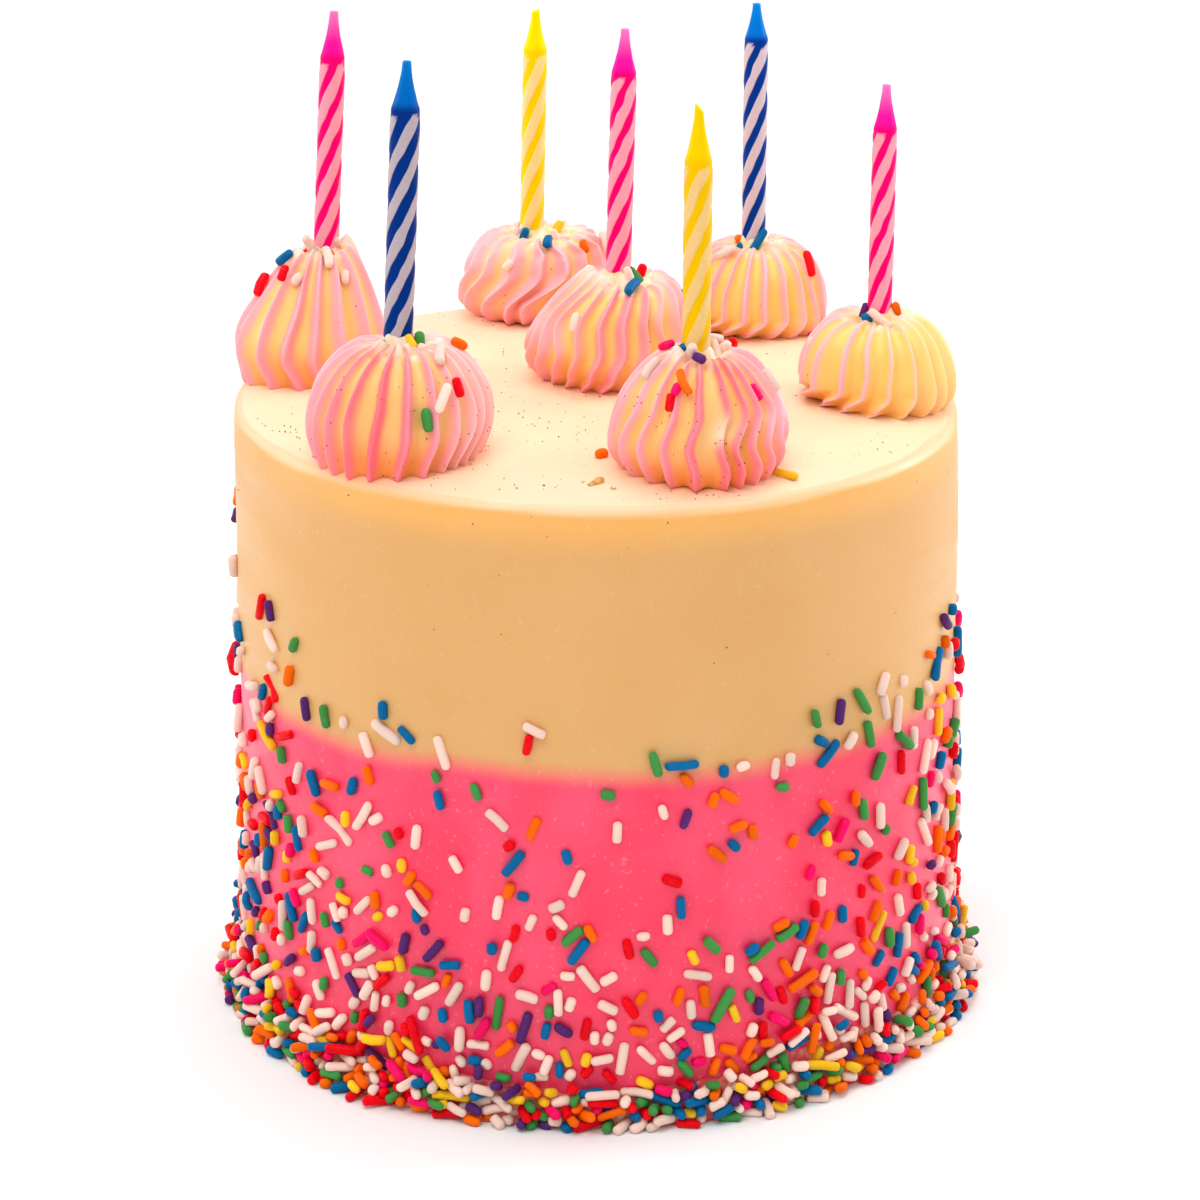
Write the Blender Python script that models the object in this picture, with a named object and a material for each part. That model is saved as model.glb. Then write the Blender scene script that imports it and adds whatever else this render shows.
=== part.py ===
"""A two-colour birthday cake: a tall round cake coated in pink and cream icing, seven piped
rosettes on its top, a twisted candle in each rosette, and a heap of sprinkles around its foot.

Metres, +Z up. The origin is the middle of the underside, so the cake stands on z = 0.
"""

import math
from collections import namedtuple

import bmesh
import bpy
from mathutils import Matrix, Vector

# --- Driving dimensions, in metres ---
GAP = 0.0003  # left between pieces that rest on or in each other
CAKE_HEIGHT = 0.1205  # at the middle of the top
FOOT_RADIUS = 0.0701
TOP_RADIUS = 0.0689
TOP_FALL = 0.0019  # how much lower the top is at its rim than in the middle
TOP_FALL_POWER = 8  # high: the top stays level and eases down only near the rim
EDGE_RADIUS = 0.0026  # rounding between the top and the side
TOP_SLOPE = 0.018  # the cake has settled: its top slopes down towards +x
COLOUR_LINE = 0.0690  # height where the pink coat ends and the cream coat starts

CANDLE_LENGTH = 0.0600
CANDLE_LEAD = 0.0330  # rise of one full turn of the twist
CANDLE_GROOVE = 0.00014  # depth of the twisted grooves
CANDLE_STARTS = 4  # raised bands that wind round the candle
TIP_RADIUS = 0.00075

BORDER_WIDTH = 0.0034  # how far the heap of sprinkles reaches out at its foot
BORDER_HEIGHT = 0.0165
BORDER_UNEVEN = 0.22  # share by which the heap swells and thins round the cake

# --- Faceting ---
CAKE_SEGMENTS = 64
BORDER_SEGMENTS = 56
EDGE_STEPS = 4
CANDLE_ROW_HEIGHT = 0.0033
TIP_STEPS = 4
TOP_RINGS = (0.93, 0.8, 0.55)  # of the level part's radius
ROSETTE_ROWS = (0.0, 0.09, 0.22, 0.4, 0.58, 0.75, 0.89, 1.0)  # of the rosette's height

# --- Piped rosettes, each with its candle ---
# x, y      middle of the rosette
# radius    at its widest
# height    from the cake's top to the rosette's rim
# widest    share of the height where it is widest
# rim       radius at the top, as a share of the widest
# crown     2 is a round shoulder, less is a straighter cone
# foot      radius where it meets the cake, as a share of the widest
# lean      how far the rim stands off towards +x
# tilt      slope of the rim, up towards +x
# fins      ridges that the star nozzle left
# sweep     turn of the ridges' feet, in radians, where the nozzle was lifted off
Rosette = namedtuple(
    "Rosette", "x y radius height widest rim crown foot lean tilt fins sweep candle"
)
# shift     of the candle from the rosette's middle along x, at the rosette's top
# tilt      towards +x, in degrees
# out       length that stands out of the rosette
# tip       length of the tapered end
Candle = namedtuple("Candle", "colour radius shift tilt out tip")

ROSETTES = (
    Rosette(-0.0549, 0.0112, 0.0150, 0.0229, 0.27, 0.40, 1.60, 0.90, 0.0024, 0.18, 15, 0.14,
            Candle("pink", 0.00244, 0.0035, 3.5, 0.0469, 0.0089)),
    Rosette(-0.0359, -0.0400, 0.0170, 0.0199, 0.33, 0.34, 2.00, 0.86, 0.0012, 0.0, 20, -0.10,
            Candle("blue", 0.00270, 0.0004, 3.1, 0.0516, 0.0088)),
    Rosette(-0.0134, 0.0555, 0.0151, 0.0163, 0.20, 0.52, 2.00, 0.70, 0.0035, 0.0, 15, -0.42,
            Candle("yellow", 0.00242, 0.0007, 1.7, 0.0452, 0.0080)),
    Rosette(0.0011, 0.0088, 0.0157, 0.0188, 0.30, 0.46, 2.00, 0.74, 0.0040, 0.0, 19, -0.17,
            Candle("pink", 0.00246, 0.0033, 1.9, 0.0484, 0.0086)),
    Rosette(0.0181, -0.0467, 0.0167, 0.0207, 0.24, 0.36, 1.68, 0.78, 0.0008, 0.0, 19, -0.10,
            Candle("yellow", 0.00256, -0.0001, 0.6, 0.0444, 0.0099)),
    Rosette(0.0318, 0.0462, 0.0149, 0.0169, 0.22, 0.38, 2.10, 0.68, 0.0006, 0.0, 20, -0.40,
            Candle("blue", 0.00241, -0.0001, 0.4, 0.0483, 0.0072)),
    Rosette(0.0530, -0.0035, 0.0152, 0.0157, 0.20, 0.40, 2.20, 0.80, 0.0006, -0.05, 18, -0.35,
            Candle("pink", 0.00232, 0.0006, 0.8, 0.0444, 0.0085)),
)
FIN_DEPTH = 0.17  # depth of the valleys between the ridges, as a share of the radius
FIN_PEAK = 0.0008  # how far a ridge's end rises above the rim
COLLAR_RISE = 0.0012  # how far the icing stands up the candle above the rim
SWEEP_HEIGHT = 0.35  # the feet turn over this share of the height

COLOURS = {
    "pink_icing": (0.93, 0.11, 0.24),
    "cream_icing": (0.95, 0.72, 0.42),
    "rosette_icing": (0.98, 0.42, 0.42),
    "candle_pink": (0.95, 0.01, 0.25),
    "candle_blue": (0.01, 0.08, 0.45),
    "candle_yellow": (0.98, 0.62, 0.02),
    "sprinkles": (0.85, 0.45, 0.35),
}


def clear_scene():
    for obj in list(bpy.data.objects):
        bpy.data.objects.remove(obj, do_unlink=True)


def plain_material(name):
    """A Principled material in the named colour, made once."""
    found = bpy.data.materials.get(name)
    if found:
        return found
    material = bpy.data.materials.new(name)
    material.use_nodes = True
    shader = material.node_tree.nodes["Principled BSDF"]
    shader.inputs["Base Color"].default_value = (*COLOURS[name], 1.0)
    shader.inputs["Roughness"].default_value = 0.45
    shader.inputs["Metallic"].default_value = 0.0
    return material


def add_object(name, bm, material_name):
    """Turns the bmesh into a smooth-shaded object, with its faces pointing out."""
    bmesh.ops.recalc_face_normals(bm, faces=bm.faces)
    mesh = bpy.data.meshes.new(name)
    bm.to_mesh(mesh)
    bm.free()
    mesh.shade_smooth()
    mesh.set_sharp_from_angle(angle=math.radians(50))
    mesh.materials.append(plain_material(material_name))
    obj = bpy.data.objects.new(name, mesh)
    bpy.context.scene.collection.objects.link(obj)
    return obj


def skin(bm, rings):
    """Joins rings of equal point counts, one to the next, with quads. Returns the vertex rings."""
    made = [[bm.verts.new(point) for point in ring] for ring in rings]
    for low, high in zip(made, made[1:]):
        count = len(low)
        for i in range(count):
            j = (i + 1) % count
            bm.faces.new((low[i], low[j], high[j], high[i]))
    return made


def close_with_fan(bm, ring, middle):
    """Closes a ring of vertices with triangles that meet at one point."""
    hub = bm.verts.new(middle)
    for i, vertex in enumerate(ring):
        bm.faces.new((vertex, ring[(i + 1) % len(ring)], hub))


def settled(point):
    """Lowers a point of the level cake where the real one has settled, in proportion to height."""
    return Vector((point[0], point[1], point[2] * (1 - TOP_SLOPE * point[0] / CAKE_HEIGHT)))


def circle(radius, height, count):
    turns = (2 * math.pi * i / count for i in range(count))
    return [Vector((radius * math.cos(a), radius * math.sin(a), height)) for a in turns]


# --- The cake ---


def side_radius(height):
    """The side draws in slightly from the foot to the top."""
    return FOOT_RADIUS + (TOP_RADIUS - FOOT_RADIUS) * height / CAKE_HEIGHT


def level_top(radius):
    share = min(1.0, radius / TOP_RADIUS)
    return CAKE_HEIGHT - TOP_FALL * share**TOP_FALL_POWER


def top_height(x, y):
    """Height of the cake's top at a point, eased down towards the rim and settled."""
    return settled((x, y, level_top(math.hypot(x, y)))).z


def add_layer(name, profile, middle, material_name):
    """A solid layer, turned from (radius, height) points that run up its side.

    middle is the height of its top in the middle.
    """
    rings = [circle(radius, height, CAKE_SEGMENTS) for radius, height in profile]
    bm = bmesh.new()
    made = skin(bm, [[settled(point) for point in ring] for ring in rings])
    close_with_fan(bm, made[0], (0, 0, profile[0][1]))
    close_with_fan(bm, made[-1], (0, 0, middle))
    return add_object(name, bm, material_name)


def add_pink_layer():
    heights = (0.0, COLOUR_LINE / 2, COLOUR_LINE)
    profile = [(side_radius(z), z) for z in heights]
    return add_layer("cake_pink_layer", profile, COLOUR_LINE, "pink_icing")


def rounded_rim():
    """(radius, height) points of the rounding between the side and the top."""
    level = TOP_RADIUS - EDGE_RADIUS
    centre = level_top(level) - EDGE_RADIUS
    turns = (math.pi / 2 * i / EDGE_STEPS for i in range(EDGE_STEPS + 1))
    return [(level + EDGE_RADIUS * math.cos(a), centre + EDGE_RADIUS * math.sin(a)) for a in turns]


def add_cream_layer():
    low = COLOUR_LINE + GAP
    profile = [(side_radius(low), low)] + rounded_rim()
    level = TOP_RADIUS - EDGE_RADIUS
    profile += [(share * level, level_top(share * level)) for share in TOP_RINGS]
    return add_layer("cake_cream_layer", profile, CAKE_HEIGHT, "cream_icing")


# --- Rosettes ---


def rosette_outline(rosette, share):
    """Radius at a share of the height, as a share of the widest radius."""
    if share < rosette.widest:
        below = (rosette.widest - share) / rosette.widest
        return 1 - (1 - rosette.foot) * below**2
    above = (share - rosette.widest) / (1 - rosette.widest)
    shoulder = max(0.0, 1 - above**rosette.crown) ** (1 / rosette.crown)
    return rosette.rim + (1 - rosette.rim) * shoulder


def rosette_ring(rosette, share):
    """One ring of points, on a ridge and in a valley by turns, drawn towards the candle."""
    radius = rosette.radius * rosette_outline(rosette, share)
    turned = rosette.sweep * max(0.0, 1 - share / SWEEP_HEIGHT) ** 2
    middle = rosette.x + rosette.lean * share**2
    points = []
    for i in range(2 * rosette.fins):
        in_valley = i % 2
        angle = math.pi * i / rosette.fins + turned
        reach = radius * (1 - FIN_DEPTH * in_valley)
        x = middle + reach * math.cos(angle)
        y = rosette.y + reach * math.sin(angle)
        rise = rosette.height * share + rosette.tilt * (x - middle) * share**2
        rise += FIN_PEAK * (1 - 2 * in_valley) * share**6
        points.append(Vector((x, y, top_height(x, y) + GAP + rise)))
    return points


def level_tops(rings, rosette):
    """Brings each ring above the foot to one height, so that only the foot follows the cake."""
    base = top_height(rosette.x, rosette.y)
    for ring, share in zip(rings, ROSETTE_ROWS):
        for point in ring:
            point.z += (base - top_height(point.x, point.y)) * min(1.0, share / SWEEP_HEIGHT)
    return rings


def candle_frame(rosette):
    """Places a candle's own axes: its +Z is its axis, its origin is where it enters the rosette."""
    candle = rosette.candle
    top = top_height(rosette.x, rosette.y) + GAP + rosette.height
    place = Matrix.Translation((rosette.x + candle.shift, rosette.y, top))
    return place @ Matrix.Rotation(math.radians(candle.tilt), 4, "Y")


def sunk_length(rosette):
    return CANDLE_LENGTH - rosette.candle.out


def socket_rings(rosette):
    """The mouth and the floor of the hole that the candle stands in."""
    axes = candle_frame(rosette)
    radius = rosette.candle.radius + GAP
    count = 2 * rosette.fins
    heights = (COLLAR_RISE, -sunk_length(rosette) - GAP)
    return [[axes @ point for point in circle(radius, z, count)] for z in heights]


def add_rosette(number, rosette):
    rings = level_tops([rosette_ring(rosette, share) for share in ROSETTE_ROWS], rosette)
    rings += socket_rings(rosette)
    bm = bmesh.new()
    made = skin(bm, rings)
    foot = Vector((rosette.x, rosette.y, top_height(rosette.x, rosette.y) + GAP))
    floor = candle_frame(rosette) @ Vector((0, 0, -sunk_length(rosette) - GAP))
    close_with_fan(bm, made[0], foot)
    close_with_fan(bm, made[-1], floor)
    return add_object(f"rosette_{number}", bm, "rosette_icing")


# --- Candles ---


def candle_ring(height, radius, groove):
    """A ring of the twisted candle: a raised band and a groove by turns."""
    count = 2 * CANDLE_STARTS
    turned = 2 * math.pi * height / CANDLE_LEAD
    points = []
    for i in range(count):
        angle = 2 * math.pi * i / count + turned
        reach = radius - groove * (i % 2)
        points.append(Vector((reach * math.cos(angle), reach * math.sin(angle), height)))
    return points


def taper_radius(radius, share):
    """The end narrows in a hollow curve to a small blunt tip."""
    return TIP_RADIUS + (radius - TIP_RADIUS) * (1 - share) ** 1.6


def add_candle(number, rosette):
    candle = rosette.candle
    low = -sunk_length(rosette)
    shoulder = candle.out - candle.tip
    rows = round((shoulder - low) / CANDLE_ROW_HEIGHT)
    heights = [low + (shoulder - low) * i / rows for i in range(rows + 1)]
    rings = [candle_ring(z, candle.radius, CANDLE_GROOVE) for z in heights]
    for i in range(1, TIP_STEPS + 1):
        share = i / TIP_STEPS
        reach = taper_radius(candle.radius, share)
        rings.append(candle_ring(shoulder + candle.tip * share, reach, 0.0))
    axes = candle_frame(rosette)
    rings = [[axes @ point for point in ring] for ring in rings]
    bm = bmesh.new()
    made = skin(bm, rings)
    bm.faces.new(made[0])
    bm.faces.new(made[-1])
    return add_object(f"candle_{number}", bm, f"candle_{candle.colour}")


# --- The heap of sprinkles round the foot ---


def swell(angle):
    """How full the heap is at an angle. Opposite sides match, so the heap stays centred."""
    wave = 0.6 * math.sin(2 * angle + 0.7) + 0.4 * math.sin(6 * angle + 2.1)
    return 1 + BORDER_UNEVEN * wave


def border_profile(angle):
    """(radius, height) points round the heap's section, from its inner foot outwards."""
    width = BORDER_WIDTH * swell(angle)
    height = BORDER_HEIGHT * swell(angle + 0.9)
    outside = ((1.0, 0.0), (0.95, 0.10), (0.62, 0.34), (0.48, 0.70), (0.30, 1.0))
    points = [(side_radius(0) + GAP, 0.0)]
    for across, up in outside:
        points.append((side_radius(up * height) + GAP + width * across, up * height))
    points.append((side_radius(height) + GAP, height))
    return points


def add_border():
    turns = [2 * math.pi * i / BORDER_SEGMENTS for i in range(BORDER_SEGMENTS)]
    bm = bmesh.new()
    sections = []
    for angle in turns:
        out = Vector((math.cos(angle), math.sin(angle), 0))
        points = [out * radius + Vector((0, 0, z)) for radius, z in border_profile(angle)]
        sections.append(points)
    skin(bm, sections + sections[:1])
    bmesh.ops.remove_doubles(bm, verts=bm.verts, dist=1e-6)
    return add_object("sprinkle_border", bm, "sprinkles")


def main():
    clear_scene()
    add_pink_layer()
    add_cream_layer()
    for number, rosette in enumerate(ROSETTES, 1):
        add_rosette(number, rosette)
        add_candle(number, rosette)
    add_border()


main()
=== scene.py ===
"""Looks of the birthday cake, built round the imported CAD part.

Metres, +Z up, in the CAD part's frame: the cake stands on z = 0 with its axis on the origin, and
its front faces -Y. The two coats, the rosettes, the candles and the heap of sprinkles are replaced
by finer pieces of about the same size. The strands of sugar, the vanilla specks and the crumbs are
added. Strands are scattered by seeded draws.
"""

import math
from collections import namedtuple

import bpy
import numpy as np
from mathutils import Matrix, Vector


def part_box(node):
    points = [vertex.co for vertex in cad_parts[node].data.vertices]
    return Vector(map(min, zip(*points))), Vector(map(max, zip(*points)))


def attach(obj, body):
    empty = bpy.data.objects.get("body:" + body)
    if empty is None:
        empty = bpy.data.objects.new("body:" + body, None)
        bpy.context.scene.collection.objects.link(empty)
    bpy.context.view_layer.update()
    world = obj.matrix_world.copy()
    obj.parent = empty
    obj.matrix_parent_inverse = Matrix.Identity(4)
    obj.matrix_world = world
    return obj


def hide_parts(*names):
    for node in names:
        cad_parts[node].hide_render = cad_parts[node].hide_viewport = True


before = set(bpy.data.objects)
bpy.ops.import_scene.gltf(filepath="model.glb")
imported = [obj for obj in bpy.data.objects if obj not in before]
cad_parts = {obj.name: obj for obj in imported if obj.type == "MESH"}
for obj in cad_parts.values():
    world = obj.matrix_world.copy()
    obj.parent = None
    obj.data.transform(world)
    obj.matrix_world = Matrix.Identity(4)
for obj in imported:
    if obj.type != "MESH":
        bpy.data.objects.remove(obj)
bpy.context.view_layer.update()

# --- The cake's dimensions, as in the CAD part's source ---
GAP = 0.0003
CAKE_HEIGHT = 0.1205
FOOT_RADIUS = 0.0701
TOP_RADIUS = 0.0689
TOP_FALL = 0.0019
TOP_FALL_POWER = 8
EDGE_RADIUS = 0.0026
TOP_SLOPE = 0.018
COLOUR_LINE = 0.0690
CANDLE_STARTS = 4
TIP_RADIUS = 0.00075
BORDER_WIDTH = 0.0034
BORDER_HEIGHT = 0.0165
BORDER_UNEVEN = 0.22
COLLAR_RISE = 0.0012
SWEEP_HEIGHT = 0.35

FRONT = -math.pi / 2  # direction of the cake's front
MM = 0.001


# --- Mesh and number helpers ---


def waves(points, size, seed, count=28):
    """Smooth noise of about unit strength at (n, 3) points, with bumps about `size` metres long."""
    rng = np.random.default_rng(seed)
    direction = rng.normal(size=(count, 3))
    direction /= np.linalg.norm(direction, axis=1, keepdims=True)
    pitch = 2 * np.pi / (size * rng.uniform(0.7, 1.6, (count, 1)))
    phase = rng.uniform(0, 2 * np.pi, count)
    return np.cos(points @ (direction * pitch).T + phase).sum(1) / math.sqrt(count / 2)


def smoothstep(value, low, high):
    share = np.clip((value - low) / (high - low), 0, 1)
    return share * share * (3 - 2 * share)


def unit(vector):
    return vector / np.linalg.norm(vector)


def at(reach, angle, height):
    """The point at a distance from the cake's axis, in a direction and at a height."""
    return np.array((reach * math.cos(angle), reach * math.sin(angle), height))


def ring_faces(rows, columns):
    """Quads that join rows of points into a tube. The points run row by row."""
    row, column = np.meshgrid(np.arange(rows - 1), np.arange(columns), indexing="ij")
    after = (column + 1) % columns
    corners = (row * columns + column, row * columns + after)
    corners += ((row + 1) * columns + after, (row + 1) * columns + column)
    return np.stack(corners, -1).reshape(-1, 4)


def fan_faces(first, columns, hub, upward):
    """Triangles from a ring of points to its hub."""
    start = first + np.arange(columns)
    after = first + (np.arange(columns) + 1) % columns
    hubs = np.full(columns, hub)
    order = (start, after, hubs) if upward else (after, start, hubs)
    return np.stack(order, -1)


def add_mesh(name, points, faces, values=None):
    """A smooth-shaded mesh object. `values` has one number for each point in each attribute."""
    mesh = bpy.data.meshes.new(name)
    mesh.from_pydata(points.tolist(), [], [face for group in faces for face in group.tolist()])
    mesh.shade_smooth()
    for key, numbers in (values or {}).items():
        layer = mesh.attributes.new(key, "FLOAT", "POINT")
        layer.data.foreach_set("value", np.asarray(numbers, np.float32))
    obj = bpy.data.objects.new(name, mesh)
    bpy.context.scene.collection.objects.link(obj)
    return obj


def add_turned(name, rings, bottom, top, values=None):
    """A closed piece from an array of rings, shaped (rows, columns, 3), and its two hubs."""
    rows, columns = rings.shape[:2]
    count = rows * columns
    points = np.vstack([rings.reshape(-1, 3), bottom, top])
    faces = [
        ring_faces(rows, columns),
        fan_faces(0, columns, count, False),
        fan_faces(count - columns, columns, count + 1, True),
    ]
    if values:
        values = {k: np.append(v.reshape(-1), (v[0].mean(), v[-1].mean())) for k, v in values.items()}
    return add_mesh(name, points, faces, values)


def dress(obj, material, slot, *replaced):
    """Gives a piece its material, hides the CAD parts that it replaces, and ties it to the CAD part. The slot
    is not used.
    """
    obj.data.materials.append(material)
    if replaced:
        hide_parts(*replaced)
    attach(obj, "root")
    return obj


# --- Materials ---


class Nodes:
    """Short calls for building one material's node tree."""

    def __init__(self, name):
        self.material = bpy.data.materials.new(name)
        self.material.use_nodes = True
        self.tree = self.material.node_tree
        self.shader = self.tree.nodes["Principled BSDF"]
        self.place = self.new("TexCoord").outputs["Object"]

    def new(self, kind):
        return self.tree.nodes.new("ShaderNode" + kind)

    def link(self, source, target):
        self.tree.links.new(source, target)

    def fill(self, socket, value):
        """Sets a socket to a number or colour, or links it to another socket."""
        if isinstance(value, bpy.types.NodeSocket):
            self.link(value, socket)
        elif isinstance(value, tuple) and len(value) == 3 and socket.type == "RGBA":
            socket.default_value = (*value, 1.0)
        else:
            socket.default_value = value

    def math(self, operation, first, second=0.0):
        node = self.new("Math")
        node.operation = operation
        self.fill(node.inputs[0], first)
        self.fill(node.inputs[1], second)
        return node.outputs[0]

    def mix(self, share, first, second):
        """Mixes two colours."""
        node = self.new("Mix")
        node.data_type = "RGBA"
        self.fill(node.inputs[0], share)
        self.fill(node.inputs[6], first)
        self.fill(node.inputs[7], second)
        return node.outputs[2]

    def remap(self, value, low, high, new_low=0.0, new_high=1.0):
        node = self.new("MapRange")
        node.interpolation_type = "SMOOTHSTEP"
        self.fill(node.inputs["Value"], value)
        for key, number in (("From Min", low), ("From Max", high), ("To Min", new_low), ("To Max", new_high)):
            node.inputs[key].default_value = number
        return node.outputs[0]

    def stretched(self, scale):
        """Object coordinates, stretched by (x, y, z) factors."""
        node = self.new("Mapping")
        self.link(self.place, node.inputs["Vector"])
        node.inputs["Scale"].default_value = scale
        return node.outputs[0]

    def noise(self, size, detail=2.0, stretch=None):
        """Noise between about 0.3 and 0.7, with bumps about `size` metres long."""
        node = self.new("TexNoise")
        self.link(self.stretched(stretch) if stretch else self.place, node.inputs["Vector"])
        node.inputs["Scale"].default_value = 1 / size
        node.inputs["Detail"].default_value = detail
        return node.outputs[0]

    def attribute(self, name):
        node = self.new("Attribute")
        node.attribute_name = name
        return node.outputs["Fac"]

    def axis(self, letter):
        node = self.new("SeparateXYZ")
        self.link(self.place, node.inputs[0])
        return node.outputs[letter]

    def facing_up(self):
        """1 where the surface faces up, 0 where it is upright, -1 where it faces down."""
        node = self.new("SeparateXYZ")
        self.link(self.new("NewGeometry").outputs["Normal"], node.inputs[0])
        return node.outputs["Z"]

    def bump(self, height, distance, strength=1.0, after=None):
        node = self.new("Bump")
        self.link(height, node.inputs["Height"])
        node.inputs["Distance"].default_value = distance
        node.inputs["Strength"].default_value = strength
        if after:
            self.link(after, node.inputs["Normal"])
        return node.outputs[0]

    def finish(self, colour, roughness=0.5, bump=None, **sockets):
        """Fills the shader. A plain number goes on the shader's own socket."""
        self.fill(self.shader.inputs["Base Color"], colour)
        self.fill(self.shader.inputs["Roughness"], roughness)
        if bump:
            self.link(bump, self.shader.inputs["Normal"])
        for key, value in sockets.items():
            self.fill(self.shader.inputs[key.replace("_", " ")], value)
        return self.material


ICING_IOR = 1.42
LINE_BLUR = (0.0034, 0.0028)  # how far the colour line blurs below and above itself
LINE_WANDER = 0.0055
# Painted light: the side is painted paler and warmer in a band under the top edge, where the rounded edge
# catches the light.
EDGE_LIGHT = (0.0115, 0.0040)  # how far below the top the side's warm band starts, and is full


def coat_material():
    """Two coats of buttercream that meet in a soft line, smoothed with a scraper."""
    nodes = Nodes("coat_buttercream")
    slope = nodes.math("MULTIPLY", nodes.axis("X"), TOP_SLOPE * COLOUR_LINE / CAKE_HEIGHT)
    level = nodes.math("ADD", nodes.axis("Z"), slope)
    wander = nodes.math("SUBTRACT", nodes.noise(0.035, 3.0, (1, 1, 0.3)), 0.5)
    wander = nodes.math("MULTIPLY", wander, LINE_WANDER)
    level = nodes.math("ADD", level, wander)
    cream_share = nodes.remap(level, COLOUR_LINE - LINE_BLUR[0], COLOUR_LINE + LINE_BLUR[1])

    height = nodes.remap(nodes.axis("Z"), COLOUR_LINE, CAKE_HEIGHT)
    side = nodes.mix(height, (0.71, 0.375, 0.110), (0.72, 0.370, 0.105))
    settled = nodes.math("ADD", nodes.axis("Z"), nodes.math("MULTIPLY", nodes.axis("X"), TOP_SLOPE))
    # Painted light under the top edge. There is less of it at the left, where the key light already lights
    # the side.
    edge_light = nodes.remap(settled, CAKE_HEIGHT - EDGE_LIGHT[0], CAKE_HEIGHT - EDGE_LIGHT[1])
    edge_light = nodes.math("MULTIPLY", edge_light, nodes.remap(nodes.axis("X"), -0.066, -0.038, 0.3, 1.0))
    side = nodes.mix(edge_light, side, (0.87, 0.425, 0.088))
    # Painted light: the coat is painted paler where it turns to face up, over the rounded edge and on the
    # top, where the light from above falls.
    up = nodes.facing_up()
    cream = nodes.mix(nodes.remap(up, 0.10, 0.90), side, (0.91, 0.56, 0.33))
    cream = nodes.mix(nodes.remap(up, 0.93, 0.9975), cream, (0.95, 0.68, 0.455))
    cloud = nodes.noise(0.022, 4.0)
    cream = nodes.mix(nodes.remap(cloud, 0.25, 0.75, 0.0, 0.12), cream, (0.92, 0.58, 0.28))
    pink_depth = nodes.remap(nodes.noise(0.016, 4.0, (1, 1, 0.5)), 0.33, 0.67)
    pink = nodes.mix(pink_depth, (0.94, 0.019, 0.090), (0.965, 0.052, 0.142))
    # Painted shade: the pink is darker low on the side, by the heap of sprinkles.
    low = nodes.remap(nodes.axis("Z"), 0.004, 0.034)
    pink = nodes.mix(low, (0.88, 0.022, 0.098), pink)
    # Painted light: the pink is painted paler at the cake's left and right, where the light from the sides
    # and the back falls.
    aside = nodes.remap(nodes.math("ABSOLUTE", nodes.axis("X")), 0.055, 0.069, 0.0, 0.80)
    pink = nodes.mix(aside, pink, (0.97, 0.13, 0.22))
    colour = nodes.mix(cream_share, pink, cream)
    flecks = nodes.remap(nodes.noise(0.0010, 1.0), 0.64, 0.78, 0.0, 0.16)
    colour = nodes.mix(flecks, colour, (0.97, 0.60, 0.48))

    streaks = nodes.noise(0.004, 3.0, (0.04, 0.04, 1.0))
    pores = nodes.noise(0.0011, 2.0)
    bump = nodes.bump(streaks, 0.00012, 0.5)
    bump = nodes.bump(pores, 0.00005, 0.5, bump)
    gloss = nodes.remap(nodes.noise(0.006, 3.0, (0.15, 0.15, 1.0)), 0.3, 0.7, 0.36, 0.5)
    return nodes.finish(colour, gloss, bump, IOR=ICING_IOR, Specular_IOR_Level=0.8, Subsurface_Weight=0.25,
                        Subsurface_Radius=(0.0022, 0.0009, 0.0005), Subsurface_Scale=1.0)


def rosette_material():
    """Piped buttercream: cream with pink along the ridges, paler where a candle pushed it up."""
    nodes = Nodes("rosette_buttercream")
    wisp = nodes.math("SUBTRACT", nodes.noise(0.0035, 3.0, (1, 1, 0.35)), 0.5)
    wisp = nodes.math("MULTIPLY", wisp, 0.45)
    pink_share = nodes.remap(nodes.math("ADD", nodes.attribute("pink"), wisp), 0.13, 0.82)
    # Painted shade: the deep attribute darkens the cream towards orange and the pink towards salmon, low on
    # the rosette and in its valleys.
    deep = nodes.attribute("deep")
    cream = nodes.mix(nodes.attribute("sunny"), (0.97, 0.58, 0.21), (0.98, 0.68, 0.19))
    cream = nodes.mix(deep, cream, (0.96, 0.31, 0.065))
    # Painted light and shade: the ridges' pink is paler where light from the sides and the back falls, and
    # deeper in painted shade on the ridges that face the front.
    pink = nodes.mix(nodes.attribute("dusty"), (0.97, 0.35, 0.41), (0.97, 0.54, 0.57))
    pink = nodes.mix(nodes.attribute("rich"), pink, (0.95, 0.165, 0.215))
    pink = nodes.mix(nodes.math("MULTIPLY", deep, 0.6), pink, (0.95, 0.16, 0.17))
    colour = nodes.mix(pink_share, cream, pink)
    pale = nodes.attribute("pale")
    colour = nodes.mix(pale, colour, (0.97, 0.80, 0.68))
    bump = nodes.bump(nodes.noise(0.0012, 3.0), 0.00008, 0.5)
    return nodes.finish(colour, 0.4, bump, IOR=ICING_IOR, Subsurface_Weight=0.4,
                        Subsurface_Radius=(0.0024, 0.0011, 0.0010), Subsurface_Scale=1.0)


# For each colour of candle: its wax, its pale band, and the lower and upper part of its tip
WAX = {
    "pink": ((0.95, 0.0, 0.17), (0.96, 0.35, 0.44), (0.96, 0.006, 0.33), (0.98, 0.19, 0.52)),
    "blue": ((0.0, 0.034, 0.25), (0.58, 0.48, 0.53), (0.0, 0.15, 0.56), (0.0, 0.22, 0.66)),
    "yellow": ((0.98, 0.58, 0.0), (0.98, 0.64, 0.25), (0.98, 0.66, 0.0), (0.98, 0.67, 0.0)),
}


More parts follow.
